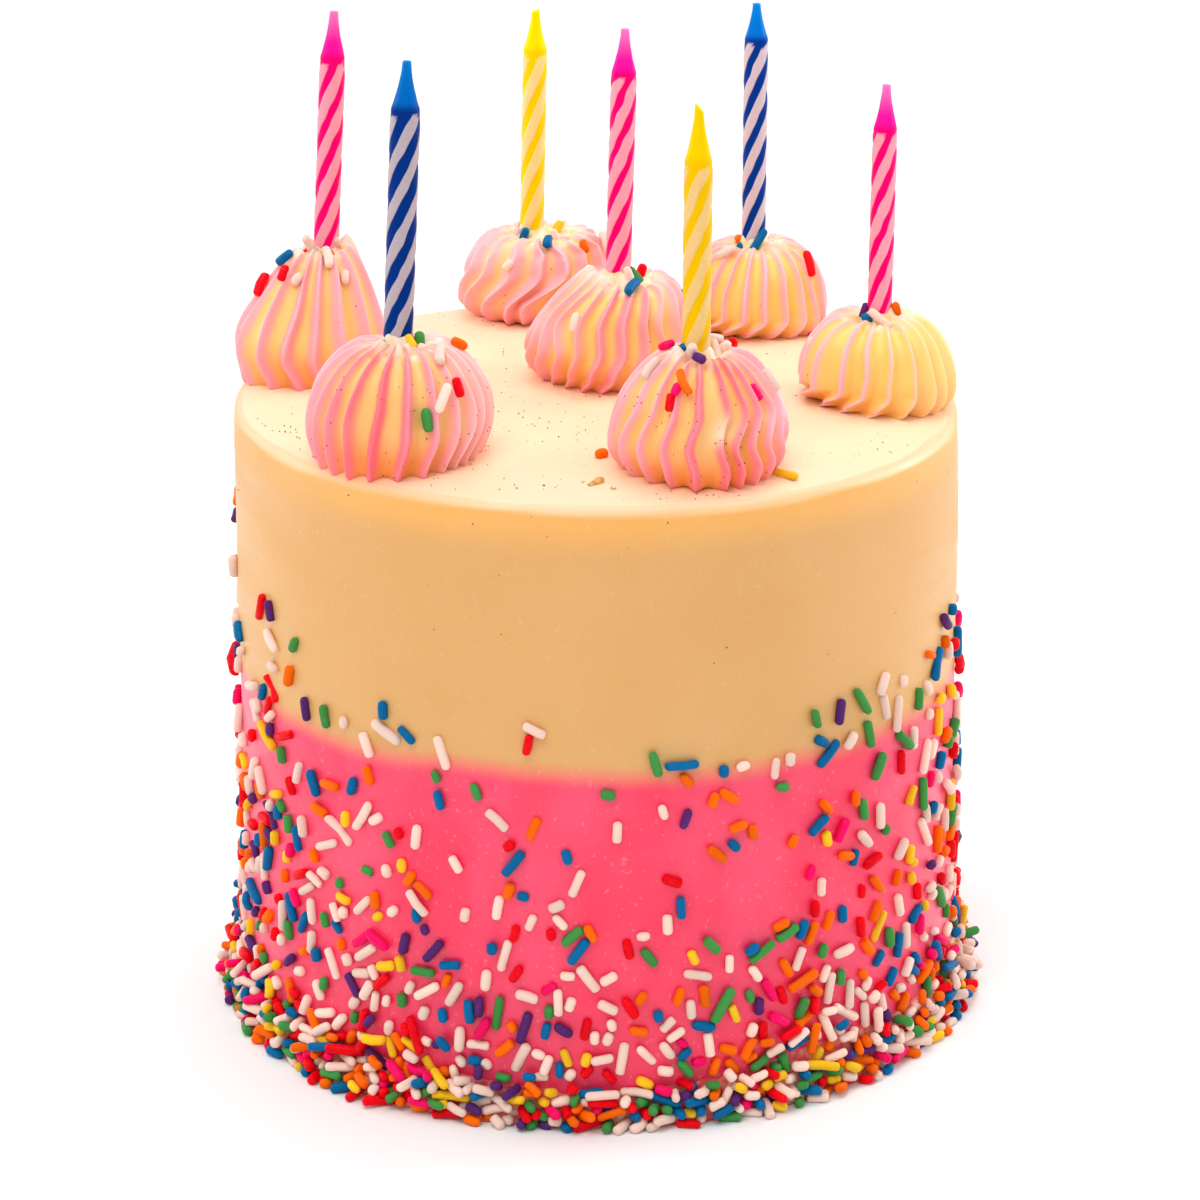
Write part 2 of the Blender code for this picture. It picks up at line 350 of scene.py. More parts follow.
def wax_material(number, look):
    """Dyed wax with paler bands wound round it, lighter at the very tip."""
    # Painted light and shade: each candle's paints are made lighter where more light falls on it and darker
    # where less falls.
    lit_paints = (tuple(min(1.0, look.glow * c) for c in paint) for paint in WAX[look.colour])
    body, band, low_tip, high_tip = lit_paints
    nodes = Nodes(f"wax_{number}")
    mottle = nodes.remap(nodes.noise(0.0008, 2.0), 0.3, 0.7)
    darker = tuple(0.95 * c for c in band)
    banded = nodes.mix(mottle, darker, band)
    up_tip = nodes.attribute("tip")
    tone = nodes.mix(nodes.remap(up_tip, 0.0, 0.25), body, low_tip)
    tone = nodes.mix(nodes.remap(up_tip, 0.30, 1.15), tone, high_tip)
    paint = nodes.mix(nodes.attribute("band"), tone, banded)
    bump = nodes.bump(nodes.noise(0.0007, 2.0), 0.00004, 0.6)
    return nodes.finish(paint, 0.38, bump, IOR=1.44, Specular_IOR_Level=0.04, Subsurface_Weight=0.15,
                        Subsurface_Radius=(0.0012, 0.0008, 0.0008), Subsurface_Scale=1.0)


SUGAR = {
    "white": (0.97, 0.70, 0.59),
    "red": (0.90, 0.0, 0.008),
    "orange": (1.0, 0.15, 0.0),
    "yellow": (1.0, 0.58, 0.018),
    "green": (0.058, 0.30, 0.062),
    "blue": (0.0, 0.143, 0.365),
    "purple": (0.10, 0.021, 0.155),
    "hotpink": (1.0, 0.003, 0.135),
}


def sugar_material(colour):
    """A sugar strand's matt-satin coat: each strand has a shade of its own."""
    nodes = Nodes(f"sugar_{colour}")
    paint = SUGAR[colour]
    darker = tuple(0.80 * c for c in paint)
    tone = nodes.mix(nodes.attribute("shade"), darker, paint)
    chalk = nodes.remap(nodes.noise(0.0009, 3.0), 0.52, 0.80, 0.0, 0.16)
    tone = nodes.mix(chalk, tone, tuple(min(1.0, 0.10 + c) for c in paint))
    bump = nodes.bump(nodes.noise(0.0006, 3.0), 0.00006, 0.7)
    return nodes.finish(tone, 0.40, bump, IOR=1.45, Specular_IOR_Level=0.09)


def plain_material(name, first, second, size, roughness):
    nodes = Nodes(name)
    colour = nodes.mix(nodes.remap(nodes.noise(size), 0.35, 0.65), first, second)
    bump = nodes.bump(nodes.noise(size / 2), size / 10, 0.5)
    return nodes.finish(colour, roughness, bump)


# --- The cake's coat ---


def side_radius(height):
    return FOOT_RADIUS + (TOP_RADIUS - FOOT_RADIUS) * height / CAKE_HEIGHT


def level_top(radius):
    return CAKE_HEIGHT - TOP_FALL * np.minimum(1.0, radius / TOP_RADIUS) ** TOP_FALL_POWER


def settle(points):
    """Lowers points of the level cake where the real one has settled, in proportion to height."""
    points[..., 2] *= 1 - TOP_SLOPE * points[..., 0] / CAKE_HEIGHT
    return points


def top_height(x, y):
    return level_top(np.hypot(x, y)) * (1 - TOP_SLOPE * x / CAKE_HEIGHT)


def polar_rings(radii, heights, columns):
    """Level rings of points, one for each radius and height."""
    turn = 2 * np.pi * np.arange(columns) / columns
    radii, heights = np.asarray(radii)[:, None], np.asarray(heights)[:, None]
    level = np.broadcast_to(heights, (len(radii), columns))
    return np.stack((radii * np.cos(turn), radii * np.sin(turn), level), -1)


def coat_profile():
    """(radii, heights) up the side, round the edge and in over the top."""
    level = TOP_RADIUS - EDGE_RADIUS
    centre = level_top(level) - EDGE_RADIUS
    side = np.linspace(0, centre, 104)[:-1]
    turn = np.linspace(0, np.pi / 2, 12)
    over = level * np.linspace(1, 0.02, 44)[1:]
    radii = np.concatenate((side_radius(side), level + EDGE_RADIUS * np.cos(turn), over))
    heights = np.concatenate((side, centre + EDGE_RADIUS * np.sin(turn), level_top(over)))
    return radii, heights


def add_coat():
    """The whole iced cake, with the marks that a scraper and a palette knife leave."""
    rings = polar_rings(*coat_profile(), 300)
    flat = rings.reshape(-1, 3)
    radius = np.hypot(flat[:, 0], flat[:, 1])
    lift = smoothstep(flat[:, 2], 0.0, 0.004)
    out = 0.00010 * waves(flat, 0.030, 1) + 0.00003 * waves(flat * (1, 1, 9), 0.020, 2)
    edge = np.exp(-(((flat[:, 2] - CAKE_HEIGHT + 0.002) / 0.004) ** 2))
    out += edge * smoothstep(radius, 0.055, 0.066) * 0.00018 * waves(flat, 0.016, 3)
    on_top = smoothstep(radius, TOP_RADIUS - 0.001, TOP_RADIUS - 0.004)
    flat[:, :2] *= (1 + (out * lift * (1 - on_top) / np.maximum(radius, 0.01)))[:, None]
    flat[:, 2] += on_top * (0.00010 * waves(flat, 0.018, 4) + 0.00004 * waves(flat, 0.005, 5))
    rings = settle(flat.reshape(rings.shape))
    coat = add_turned("coat_of_icing", rings, (0, 0, 0), (0, 0, rings[-1, :, 2].mean()))
    dress(coat, coat_material(), "cream_icing", "cake_cream_layer", "cake_pink_layer")


# --- Candles ---

# radius         of the wax
# share          of the twist that a pale band takes
# lead           length of one turn of the twist
# down           from the candle's end to where a coloured stripe crosses its front, in metres
# tip            length of the tapered end
# slant          how far one side of the cut end stands above the other
# glow  painted light and shade: how much lighter or darker than its colour's usual shade the candle is made,
# as more or less light falls on it
CandleLook = namedtuple("CandleLook", "colour radius share lead down tip slant glow")
CANDLES = [CandleLook(*row) for row in (
    ("pink", 0.00244, 0.60, 0.0346, 0.0107, 0.0089, 0.0, 0.95),
    ("blue", 0.00270, 0.52, 0.0345, 0.0095, 0.0088, 0.0, 0.84),
    ("yellow", 0.00242, 0.62, 0.0363, 0.0087, 0.0080, 0.0002, 1.14),
    ("pink", 0.00246, 0.63, 0.0337, 0.0114, 0.0086, 0.0, 1.06),
    ("yellow", 0.00256, 0.60, 0.0355, 0.0087, 0.0099, -0.0006, 0.89),
    ("blue", 0.00241, 0.57, 0.0323, 0.0090, 0.0072, 0.0, 1.15),
    ("pink", 0.00232, 0.60, 0.0330, 0.0107, 0.0085, 0.0, 1.03),
)]
BAND_RELIEF = 0.00013  # how far the pale bands stand out of the wax
BAND_COLUMNS = 6  # columns of the mesh on each band, and on each stripe between two
BAND_EDGE = 0.03  # how soft a band's edge is, as a share of the way from band to band


def candle_ends(number):
    """The middle of the candle's bottom and of its top, from its CAD solid."""
    name = f"candle_{number}"
    low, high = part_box(name)
    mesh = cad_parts[name].data
    points = np.array([v.co for v in mesh.vertices])
    bottom = points[points[:, 2] < low.z + 0.0005].mean(0)
    top = points[points[:, 2] > high.z - 0.0003].mean(0)
    return Vector(bottom), Vector(top)


def tip_radius(radius, share):
    """A candle's radius at a share of the way up its tapered end."""
    return TIP_RADIUS + (radius - TIP_RADIUS) * (1 - share) ** 1.6


def add_candle(number, look):
    """A wax candle with pale bands wound round it, on its CAD solid's axis."""
    bottom, top = candle_ends(number)
    length = (top - bottom).length
    shoulder = length - look.tip
    body = np.linspace(0, shoulder, 100)
    taper = shoulder + look.tip * np.linspace(0, 1, 22)[1:]
    end = length + 0.00012 * np.array((0.5, 1.0))
    heights = np.concatenate((body, taper, end))

    # Columns run along the twist, close together at each edge of a band.
    share = look.share
    steps = np.concatenate((np.linspace(BAND_EDGE, share - BAND_EDGE, BAND_COLUMNS),
                            np.linspace(share, 1.0, BAND_COLUMNS)))
    starts = np.arange(CANDLE_STARTS)[:, None]
    turn = ((starts + steps - share / 2) / CANDLE_STARTS).reshape(-1) * 2 * np.pi
    column = np.tile(np.arange(len(steps)), CANDLE_STARTS)
    wound = 2 * np.pi * (heights - (length - look.down)) / look.lead
    half_pitch = np.pi / CANDLE_STARTS
    angle = turn[None] + wound[:, None] + FRONT + half_pitch
    along = np.broadcast_to(heights[:, None], angle.shape)

    rough = np.stack((np.cos(turn) + 0 * along, np.sin(turn) + 0 * along, along / 0.004), -1)
    jitter = waves(rough.reshape(-1, 3), 0.9, 10 + number).reshape(angle.shape)
    angle = angle + 0.035 * jitter * (heights < shoulder)[:, None]

    rounded = 2 * np.abs(steps / share - 0.5) ** 2
    band_end = shoulder - 0.0004 + 0.00035 * jitter - 0.0011 * rounded[column]
    band = (column < BAND_COLUMNS)[None] * smoothstep(band_end - along, -0.0001, 0.0002)
    share_up = np.clip((heights - shoulder) / look.tip, 0, 1)
    radius = np.where(heights < shoulder, look.radius, tip_radius(look.radius, share_up))
    radius[-2:] *= (0.86, 0.45)
    flutes = 0.00005 * np.cos(7 * angle + number) * smoothstep(share_up, 0.0, 0.3)[:, None]
    reach = radius[:, None] - BAND_RELIEF * (1 - band) * (share_up[:, None] < 1e-6) + flutes
    reach = reach + 0.00002 * jitter
    slant = look.slant * np.cos(angle) * smoothstep(share_up, 0.9, 1.0)[:, None]
    rings = np.stack((reach * np.cos(angle), reach * np.sin(angle), along + slant), -1)

    values = {"band": band, "tip": np.broadcast_to(share_up[:, None], angle.shape)}
    hub = (0, 0, rings[-1, :, 2].mean())
    candle = add_turned(f"wax_candle_{number}", rings, (0, 0, 0), hub, values)
    axis = (top - bottom).normalized()
    turned = Vector((0, 0, 1)).rotation_difference(axis).to_matrix().to_4x4()
    candle.matrix_world = Matrix.Translation(bottom) @ turned
    dress(candle, wax_material(number, look), f"candle_{look.colour}", f"candle_{number}")


# --- Rosettes ---

# widest    share of the height at which the rosette is widest
# rim       radius at the rim, as a share of the widest radius
# crown     how round the upper part is: 2 is an ellipse, less is straighter
# foot      radius at the foot, as a share of the widest radius
# lean      how far the body leans towards +x at its rim, in metres
# tilt      slope of the rim, up towards +x
# fins      ridges that the star nozzle left
# front     the directions of the ridges that face the front, in degrees from the front
# twist     (share of the height, degrees) that the ridges turn by
# drag      how much more the left ridges turn than the right ones
# sway      how far single ridges wander, in degrees
# toe       how far a ridge's foot spreads over the cake, in metres
RosetteShape = namedtuple("RosetteShape", "widest rim crown foot lean tilt fins front twist drag sway toe")
# pink      half width of a ridge's pink, as a share of the space between ridges
# rich painted shade: how deep the pink is on the ridges that face the front, where it is deepest
# side      where that is, in degrees from the front
# dusty how pale the other ridges' pink is: partly the icing's own paler pink, partly painted light from the
# sides and the back
# fade      how much of the pink is lost towards +x
# bleach    how much paler the icing is towards +x
# sunny     how yellow the valleys are
RosetteTint = namedtuple("RosetteTint", "pink rich side dusty fade bleach sunny")
ROSETTES = (
    (RosetteShape(0.27, 0.35, 1.38, 0.90, 0.0024, 0.12, 15, (-71, -41, -15, 6, 29, 56),
                  ((0, 8), (0.25, 0)), 0.6, 1.5, 0.0003),
     RosetteTint(0.265, 0.20, -25, 0.45, 0.10, 0.0, 0.3)),
    (RosetteShape(0.33, 0.34, 2.00, 0.86, 0.0012, 0.0, 20,
                  (-82, -62, -48, -32, -13, 8, 28, 44, 56, 67, 79),
                  ((0, -6), (0.35, 0)), -0.6, 1.2, 0.0003),
     RosetteTint(0.20, 1.0, -17, 0.35, -0.25, 0.3, 0.0)),
    (RosetteShape(0.20, 0.54, 2.30, 0.70, 0.0027, 0.0, 15, (-77, -49, -22, 4, 22, 47, 68),
                  ((0, -24), (0.22, -24), (0.66, 2), (0.85, 0), (1, -9)), -0.4, 2.0, 0.0004),
     RosetteTint(0.34, 0.12, 0, 0.70, 0.0, 0.0, 0.45)),
    (RosetteShape(0.30, 0.46, 1.90, 0.74, 0.0040, 0.0, 19, (-78, -61, -45, -27, -9, 9, 29, 48),
                  ((0, -11), (0.15, -2), (0.38, 4), (0.72, -2), (1, 1)), 0.0, 2.0, 0.0003),
     RosetteTint(0.27, 0.32, 10, 0.54, 0.0, 0.10, 0.6)),
    (RosetteShape(0.24, 0.36, 1.68, 0.78, 0.0008, 0.0, 19, (-76, -57, -39, -22, -3, 21, 33, 46, 60, 77),
                  ((0, 0), (0.15, -1), (0.33, -5), (0.62, 2), (0.85, 0), (1, -2)), -0.6, 1.3, 0.0003),
     RosetteTint(0.170, 0.9, 14, 0.50, -0.30, 0.0, 0.05)),
    (RosetteShape(0.22, 0.38, 1.95, 0.68, 0.0006, 0.0, 20, (-62, -44, -27, -10, 7, 26, 43, 58, 78),
                  ((0, -23), (0.08, -15), (0.27, 0)), 1.0, 1.0, 0.0006),
     RosetteTint(0.205, 0.0, 0, 0.64, 0.1, 0.0, 0.9)),
    (RosetteShape(0.20, 0.40, 2.05, 0.80, 0.0006, -0.05, 18, (-82, -58, -32, -13, 7, 27, 45, 59, 75),
                  ((0, -20), (0.07, -12), (0.25, 0)), 1.0, 1.0, 0.0006),
     RosetteTint(0.14, 0.0, 0, 0.80, 0.7, 0.20, 0.8)),
)
FIN_DEPTH = 0.170  # of the widest radius
FIN_WIDTH = 0.165  # half width of a ridge, as a share of the space between ridges
RIM_PEAK = 0.0007  # how far a ridge's end rises above the rim
FRONT_SHADE_SPREAD = 38.0  # degrees
COLUMNS_PER_FIN = 16


def rosette_place(number, shape):
    """(middle x, middle y, radius, height, candle's entry) from the CAD solids' boxes."""
    low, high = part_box(f"rosette_{number}")
    bottom, top = candle_ends(number)
    rim_height = high.z - COLLAR_RISE
    entry = bottom.lerp(top, (rim_height - bottom.z) / (top.z - bottom.z))
    x = (high.x + low.x) / 2
    y = (high.y + low.y) / 2
    x -= (entry.x - x) * shape.widest**2
    height = rim_height - float(top_height(x, y)) - GAP
    return x, y, (high.y - low.y) / 2, height, entry


def fin_angles(shape, number):
    """Each ridge's direction. Those at the front are given, and the rest fill the way round."""
    front = FRONT + np.radians(shape.front)
    rest = shape.fins - len(front)
    gap = 2 * np.pi - (front[-1] - front[0])
    rng = np.random.default_rng(200 + number)
    steps = np.arange(1, rest + 1) + rng.uniform(-0.14, 0.14, rest)
    return np.concatenate((front, front[-1] + gap * steps / (rest + 1)))


class Ridges:
    """For each column of a rosette's mesh, its direction and the two ridges that it lies between."""

    def __init__(self, fins):
        column = np.arange(len(fins) * COLUMNS_PER_FIN)
        step = (column % COLUMNS_PER_FIN) / COLUMNS_PER_FIN
        self.before = column // COLUMNS_PER_FIN
        self.after = (self.before + 1) % len(fins)
        # Columns stand closer together on the ridges than in the valleys.
        self.within = 0.5 * step + 0.25 * (1 - np.cos(np.pi * step))
        following = np.append(fins[1:], fins[0] + 2 * np.pi)
        self.angle = fins[self.before] + (following - fins)[self.before] * self.within
        self.share = smoothstep(self.within, 0.3, 0.7)

    def blend(self, numbers):
        """Each ridge's own number, blended over the valleys."""
        return numbers[self.before] * (1 - self.share) + numbers[self.after] * self.share

    def rise(self, widths, power, spread=1.0):
        """1 along the ridges, falling to 0 over each ridge's own half width."""
        left = np.exp(-((self.within / (spread * widths[self.before])) ** power))
        return left + np.exp(-(((1 - self.within) / (spread * widths[self.after])) ** power))


def rosette_outline(shape, share):
    """Radius at a share of the height, as a share of the widest radius."""
    below = np.clip((shape.widest - share) / shape.widest, 0, 1)
    above = np.clip((share - shape.widest) / (1 - shape.widest), 0, 1)
    low = 1 - (1 - shape.foot) * below**2
    high = shape.rim + (1 - shape.rim) * (1 - above**shape.crown) ** (1 / shape.crown)
    return np.where(share < shape.widest, low, high)


def twist_angle(shape, share, angle):
    """How far the ridges have turned at a share of the height, in radians."""
    knots = shape.twist
    turned = np.full_like(share, knots[0][1])
    for (low, before), (high, after) in zip(knots, knots[1:]):
        turned = turned + (after - before) * smoothstep(share, low, high)
    return np.radians(turned) * (1 - shape.drag * np.sin(angle - FRONT))


# number, azimuth, reach  where the icing was pushed up, in degrees from the front and in metres
# rise, size, pale        how far, how wide, and how pale
Lump = namedtuple("Lump", "number azimuth reach rise size pale")
LUMPS = [Lump(*row) for row in (
    (1, -80, 0.0050, 0.0010, 0.0020, 1.0),
    (1, -35, 0.0042, 0.0014, 0.0016, 1.0),
    (1, 110, 0.0042, 0.0022, 0.0020, 1.0),
    (2, -45, 0.0034, 0.0014, 0.0014, 1.0),
    (2, 0, 0.0034, 0.0010, 0.0014, 1.0),
    (2, 35, 0.0036, 0.0012, 0.0014, 1.0),
    (3, -40, 0.0045, 0.0006, 0.0018, 0.8),
    (4, -80, 0.0054, 0.0029, 0.0028, 1.0),
    (4, -35, 0.0046, 0.0016, 0.0020, 1.0),
    (4, 20, 0.0042, 0.0016, 0.0018, 1.0),
    (5, -50, 0.0044, 0.0018, 0.0016, 1.0),
    (6, 60, 0.0044, 0.0012, 0.0018, 0.9),
    (7, 70, 0.0050, 0.0010, 0.0030, 0.8),
)]
DENT = {"number": 5, "azimuth": 20, "share": 0.50, "wide": 9, "tall": 0.13, "deep": 0.0011}


def dent_strength(number, angle, share):
    """Where a strand of icing was knocked off its ridge, 1 in the middle of the dent."""
    if number != DENT["number"]:
        return np.zeros_like(angle * share)
    across = np.degrees(angle - FRONT) - DENT["azimuth"]
    return np.exp(-((across / DENT["wide"]) ** 2) - ((share - DENT["share"]) / DENT["tall"]) ** 2)


def ring_noise(angle, share, size, seed):
    """Smooth noise over the rosette's skin, joined all the way round."""
    across = np.broadcast_to(angle, (len(share), len(angle)))
    up = np.broadcast_to(share, across.shape)
    place = np.stack((np.cos(across), np.sin(across), up * 1.3), -1).reshape(-1, 3)
    return waves(place, size, seed).reshape(across.shape)


def rosette_rows():
    """(share, inward) of each ring: up the outside to the rim, then in to the candle."""
    outer = np.concatenate((np.linspace(0, 0.12, 9)[:-1], np.linspace(0.12, 0.86, 32)[:-1],
                            np.linspace(0.86, 1.0, 11)))
    inner = np.linspace(0, 1, 15)[1:]
    share = np.concatenate((outer, np.ones(len(inner))))[:, None]
    inward = np.concatenate((np.zeros(len(outer)), inner))[:, None]
    return share, inward


def add_rosette(number, shape, tint):
    """Adds one rosette and returns its rings of points."""
    x, y, radius, height, entry = rosette_place(number, shape)
    rng = np.random.default_rng(300 + number)
    fins = fin_angles(shape, number)
    ridges = Ridges(fins)
    share, inward = rosette_rows()
    azimuth = (np.degrees(ridges.angle - FRONT) + 180) % 360 - 180
    in_dent = dent_strength(number, ridges.angle, share)

    # A ridge is narrow and round, the valley between two is wide and hollow.
    widths = FIN_WIDTH * rng.uniform(0.85, 1.30, shape.fins)
    tall = ridges.blend(rng.uniform(0.6, 1.35, shape.fins))
    at_foot = 1 - smoothstep(share, 0, 0.16)
    crest = ridges.rise(widths, 1.8, 1 + 0.35 * at_foot) * (1 - 0.75 * in_dent)
    crest = crest * (1 - smoothstep(inward, 0.0, 0.6))
    hollow = np.sin(np.pi * ridges.within) ** 2 * (1 - inward)
    depth = FIN_DEPTH * radius * (0.85 + 0.15 * tall) * (1 - 0.25 * smoothstep(share, 0.5, 0.9))
    depth = depth * (1 - 0.35 * at_foot)
    reach = radius * rosette_outline(shape, share) - depth * (0.66 * (1 - crest) + 0.34 * hollow)
    reach = reach + shape.toe * crest * tall * (1 - smoothstep(share, 0, 0.10))
    reach = reach + 0.00025 * ring_noise(ridges.angle, share, 0.9, 60 + number) - DENT["deep"] * in_dent
    wander = ridges.blend(rng.normal(0, shape.sway, shape.fins))
    phase = ridges.blend(rng.uniform(0, 2, shape.fins))
    bend = np.radians(wander * np.sin(2 * np.pi * share + phase) * np.sin(np.pi * share))
    angle = ridges.angle + twist_angle(shape, share, ridges.angle) + bend

    # The ridges end in points. Inside them the icing is pushed up in lumps against the candle.
    reach = reach * (1 - inward) + (CANDLES[number - 1].radius - 0.0002) * inward
    drift = shape.lean * share**2 * (1 - inward) + (entry.x - x) * inward
    across = x + drift + reach * np.cos(angle)
    deep = y + reach * np.sin(angle)
    ends = smoothstep(share, 0.70, 1.0) * (1 - smoothstep(inward, 0.0, 0.5))
    rise = height * share + RIM_PEAK * (crest * tall - 0.35) * ends
    rise = rise + COLLAR_RISE * smoothstep(inward, 0.45, 0.95)
    rise = rise + shape.tilt * (across - x - drift) * smoothstep(share, 0.3, 1.0) * (1 - inward)
    place = np.stack((across, deep, rise), -1).reshape(-1, 3)
    rough = waves(place, 0.0024, 80 + number).reshape(rise.shape)
    loose = smoothstep(share - 0.06 * crest, 0.90, 0.97) * (1 - crest) + smoothstep(inward, 0.0, 0.5) * crest
    rise = rise + (0.0003 * rough - 0.0006 * np.sin(np.pi * inward)) * loose

    # Only the foot follows the cake's top.
    base = float(top_height(x, y)) + GAP
    level = smoothstep(share, 0.0, SWEEP_HEIGHT)
    up = rise + (top_height(across, deep) - 0.0002) * (1 - level) + base * level
    pale = 0.3 * loose * (1 + 0.8 * rough) + 0.5 * in_dent
    pale = pale + tint.bleach * smoothstep(azimuth, 25, 60)
    for lump in LUMPS:
        if lump.number == number:
            turn = FRONT + math.radians(lump.azimuth)
            apart = np.hypot(across - entry.x - lump.reach * math.cos(turn),
                             deep - entry.y - lump.reach * math.sin(turn))
            bump = np.exp(-((apart / lump.size) ** 2)) * smoothstep(share, 0.7, 0.95)
            up = up + lump.rise * bump
            pale = np.maximum(pale, lump.pale * bump)

    rings = np.stack((across, deep, up), -1)
    kept = ridges.blend(rng.uniform(0.75, 1.2, shape.fins))
    kept = kept * (1 - tint.fade * smoothstep(azimuth, -40, 60))
    # Painted shade: the pink deepens on the ridges that face the front, as less light falls on them from the
    # front.
    rich = tint.rich * np.exp(-(((azimuth - tint.side) / FRONT_SHADE_SPREAD) ** 2))
    pink = kept * ridges.rise(tint.pink * widths / FIN_WIDTH, 2.0) ** (1 - 0.35 * rich)
    pink = pink * (1 - loose) + 0.35 * loose * (1 - 0.6 * inward)
    # Painted shade: deep is strongest low on the rosette and in its valleys, weaker on sunny rosettes, and a
    # little stronger in the valleys that face the front.
    low = 1 - smoothstep(share, 0.0, 0.42)
    values = {
        "pink": pink * (1 - 0.7 * in_dent),
        "pale": np.clip(pale, 0, 1),
        "deep": low * (1 - 0.4 * crest) * (1 - 0.55 * tint.sunny) + 0.15 * rich * (1 - crest),
        "rich": rich + 0 * up,
        "dusty": np.full_like(up, tint.dusty),
        "sunny": np.full_like(up, tint.sunny),
    }
    piece = add_turned(f"piped_rosette_{number}", rings, (x, y, base - 0.0003), tuple(entry), values)
    material = bpy.data.materials.get("rosette_buttercream") or rosette_material()
    dress(piece, material, "rosette_icing", f"rosette_{number}")
    return rings


# --- Sprinkles ---

SIDES = 10
MOST_STRANDS = 4000
LONG_REACH = 0.0085  # strands further apart than this can't touch
STEP = 0.0004  # by which a strand is moved to find room
# For each ring of a strand: the end it is at, how far along the cap, and how wide
OUTLINE = ((-1, 0.92, 0.42), (-1, 0.62, 0.80), (-1, 0.0, 1.0), (0, 0.0, 1.03), (1, 0.0, 1.0),
           (1, 0.62, 0.80), (1, 0.92, 0.42))


class Strands:
    """The strands placed so far. Each is a middle, a direction, a length, a radius and a colour."""

    def __init__(self):
        self.rows = []
        self.chain = np.empty((MOST_STRANDS, 5, 3))
        self.radii = np.empty(MOST_STRANDS)
        self.middles = np.empty((MOST_STRANDS, 3))

    def chain_of(self, middle, direction, length, radius):
        reach = max(0.0, length / 2 - radius)
        return middle + np.linspace(-reach, reach, 5)[:, None] * direction

    def fits(self, middle, direction, length, radius, overlap=0.10):
        """True if a strand here would stay clear of the others, but for a small overlap."""
        count = len(self.rows)
        near = np.nonzero(np.abs(self.middles[:count] - middle).max(1) < LONG_REACH)[0]
        if not len(near):
            return True
        chain = self.chain_of(middle, direction, length, radius)
        gaps = np.linalg.norm(self.chain[near][:, :, None] - chain[None, None], axis=-1)
        allowed = (self.radii[near] + radius) * (1 - overlap)
        return bool((gaps.min((1, 2)) > allowed).all())

    def add(self, middle, direction, length, radius, colour):
        count = len(self.rows)
        self.chain[count] = self.chain_of(middle, direction, length, radius)
        self.radii[count] = radius
        self.middles[count] = middle
        self.rows.append((middle, direction, length, radius, colour))

    def place(self, rng, middle, direction, length, radius, overlap=0.10):
        """Adds a strand of any colour if it fits, and says whether it did."""
        fits = self.fits(middle, direction, length, radius, overlap)
        if fits:
            self.add(middle, direction, length, radius, pick_colour(rng))
        return fits


# How many strands are tried round the foot, in the heap and up the side
FOOT_TRIES = 2600
HEAP_TRIES = 2600
SIDE_TRIES = 5200
COLOUR_SHARES = {
    "white": 0.35, "orange": 0.16, "red": 0.11, "blue": 0.12,
    "yellow": 0.08, "green": 0.08, "purple": 0.05, "hotpink": 0.05,
}


def pick_colour(rng):
    return str(rng.choice(list(COLOUR_SHARES), p=list(COLOUR_SHARES.values())))


def pick_angle(rng):
    return rng.uniform(-math.pi, math.pi)


def pick_size(rng):
    """(length, radius): most strands are short, a few are long."""
    radius = rng.uniform(0.00078, 0.00098)
    length = 0.0021 + 0.0062 * rng.beta(1.3, 2.6)
    return length, radius


def wall_frame(angle, height):
    """A point on the cake's side, with the ways out, round to the right, and up the side."""
    lean = (TOP_RADIUS - FOOT_RADIUS) / CAKE_HEIGHT
    out = unit(at(1.0, angle, -lean))
    right = np.array((-math.sin(angle), math.cos(angle), 0.0))
    return at(side_radius(height), angle, height), out, right, np.cross(out, right)


def tilted(turn, tilt, out, right, up):
    """A direction turned from `up` towards `right`, then tilted outwards."""
    flat = math.cos(turn) * up + math.sin(turn) * right
    return math.cos(tilt) * flat + math.sin(tilt) * out


HEIGHT_TURN = 0.9  # radians from the heap's swells in width round to those in height


def swell(angle):
    """How full the heap is at an angle, as in the CAD part's source."""
    return 1 + BORDER_UNEVEN * (0.6 * math.sin(2 * angle + 0.7) + 0.4 * math.sin(6 * angle + 2.1))


def heap_reach(angle, height):
    """How far the heap stands out of the side at a height."""
    full = BORDER_HEIGHT * swell(angle + HEIGHT_TURN)
    share = height / full
    return BORDER_WIDTH * swell(angle) * float(
        np.interp(share, (0, 0.10, 0.34, 0.70, 1.0, 1.05), (1.0, 0.95, 0.62, 0.48, 0.30, 0.0))
    )


def sideness(angle):
    """0 at the front and the back, 1 at the cake's left and right."""
    return abs(math.cos(angle)) ** 3


def fill_foot(strands, rng):
    """Drops strands on the surface round the foot, each as low as the others let it."""
    for _ in range(FOOT_TRIES):
        angle = pick_angle(rng)
        length, radius = pick_size(rng)
        reach = BORDER_WIDTH * swell(angle) * rng.uniform(0.05, 1.0) ** 0.8
        heading = rng.uniform(0, math.pi)
        pitch = rng.normal(0, 0.22)
        direction = at(math.cos(pitch), heading, math.sin(pitch))
        across = side_radius(0) + radius * 0.8 + reach
        sunk = abs(math.sin(pitch)) * (length / 2 - radius)
        for height in np.arange(radius + sunk, BORDER_HEIGHT * 0.5, STEP):
            if reach > heap_reach(angle, height) + 0.0006:
                break
            middle = at(across, angle, height)
            ends = middle + np.outer((-1, 1), direction) * (length / 2 - radius)
            if (np.hypot(ends[:, 0], ends[:, 1]) < side_radius(0) + 0.6 * radius).any():
                break
            if strands.place(rng, middle, direction, length, radius):
                break


